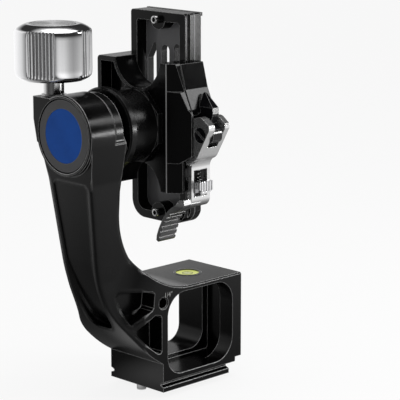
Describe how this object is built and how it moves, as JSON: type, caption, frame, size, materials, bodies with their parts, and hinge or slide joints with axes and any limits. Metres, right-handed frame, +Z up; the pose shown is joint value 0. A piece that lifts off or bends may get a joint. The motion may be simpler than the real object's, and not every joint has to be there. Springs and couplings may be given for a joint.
{
  "type": "gimbal tripod head",
  "caption": "Side-mount gimbal tripod head with a swan-neck arm, locking knob, lever clamp, long lens plate, round level and dovetail foot.",
  "frame": {"origin": "centre of the dovetail foot's bottom face (the foot's long axis is X)", "axes": "+Z up; +X along the tilt axis from the medallion towards the lens plate; -Y is the lever side"},
  "size_m": [0.1114, 0.0764, 0.188],
  "materials": {
    "black_anodised": "satin black anodised",
    "plate_black": "satin black anodised",
    "link_black": "gloss black coated steel",
    "blue_enamel": "satin blue disc",
    "chrome": "polished",
    "satin_nickel": "satin nickel",
    "stainless_steel": "turned",
    "brass": "machined",
    "dark_ring": "black",
    "level_green": "coloured liquid",
    "level_bubble": "air bubble",
    "clear_lens": "clear"
  },
  "bodies": {
    "arm": {"arm": "black_anodised", "foot_stop_screws": "stainless_steel", "level_housing": "dark_ring", "level_liquid": "level_green", "level_bubble": "level_bubble", "level_lens": "clear_lens", "end_cap": "black_anodised", "medallion": "blue_enamel", "brake_shoe": "brass", "bearing_outer_ring": "stainless_steel", "bearing_balls": "stainless_steel", "bearing_cage": "brass", "bearing_circlip": "stainless_steel", "knob_washer": "stainless_steel"},
    "knob": {"knob_grip": "chrome", "knob_cap": "chrome", "knob_screw": "stainless_steel"},
    "clamp": {"spindle": "stainless_steel", "bearing_inner_ring": "stainless_steel", "bearing_spacer": "stainless_steel", "hub": "black_anodised", "hub_screw": "stainless_steel", "hub_screws": "stainless_steel", "clamp_body": "black_anodised", "link_pin": "stainless_steel", "jaw_guide_pins": "stainless_steel", "jaw_springs": "stainless_steel", "pivot_link": "link_black", "lever_pin": "link_black"},
    "jaw": {"moving_jaw": "black_anodised"},
    "lever": {"lever": "satin_nickel"},
    "button": {"lock_button": "chrome", "lock_spring": "stainless_steel"},
    "plate": {"lens_plate": "plate_black", "plate_stop_screws": "stainless_steel"}
  },
  "joints": [
    {"name": "tilt", "type": "hinge", "parent": "arm", "child": "clamp", "pos_m": [0, 0, 0.1314], "axis": [1, 0, 0], "continuous": true},
    {"name": "knob_turn", "type": "hinge", "parent": "arm", "child": "knob", "pos_m": [-0.0656, 0.015, 0.1314], "axis": [0, 0, 1], "continuous": true},
    {"name": "lever_swing", "type": "hinge", "parent": "clamp", "child": "lever", "pos_m": [0, -0.0367, 0.1296], "axis": [-1, 0, 0], "range_deg": [0, 100]},
    {"name": "jaw_slide", "type": "slide", "parent": "clamp", "child": "jaw", "axis": [0, -1, 0], "range_m": [0, 0.001]},
    {"name": "button_slide", "type": "slide", "parent": "lever", "child": "button", "axis": [0, 0, 1], "range_m": [0, 0.0045], "stiffness_N_per_m": 300, "deforming": ["lock_spring"]},
    {"name": "plate_slide", "type": "slide", "parent": "clamp", "child": "plate", "axis": [0, 0, 1], "range_m": [-0.027, 0.026]}
  ],
  "couplings": [
    {"joint": "jaw_slide", "follows": "lever_swing", "m_per_rad": 0.00057}
  ]
}
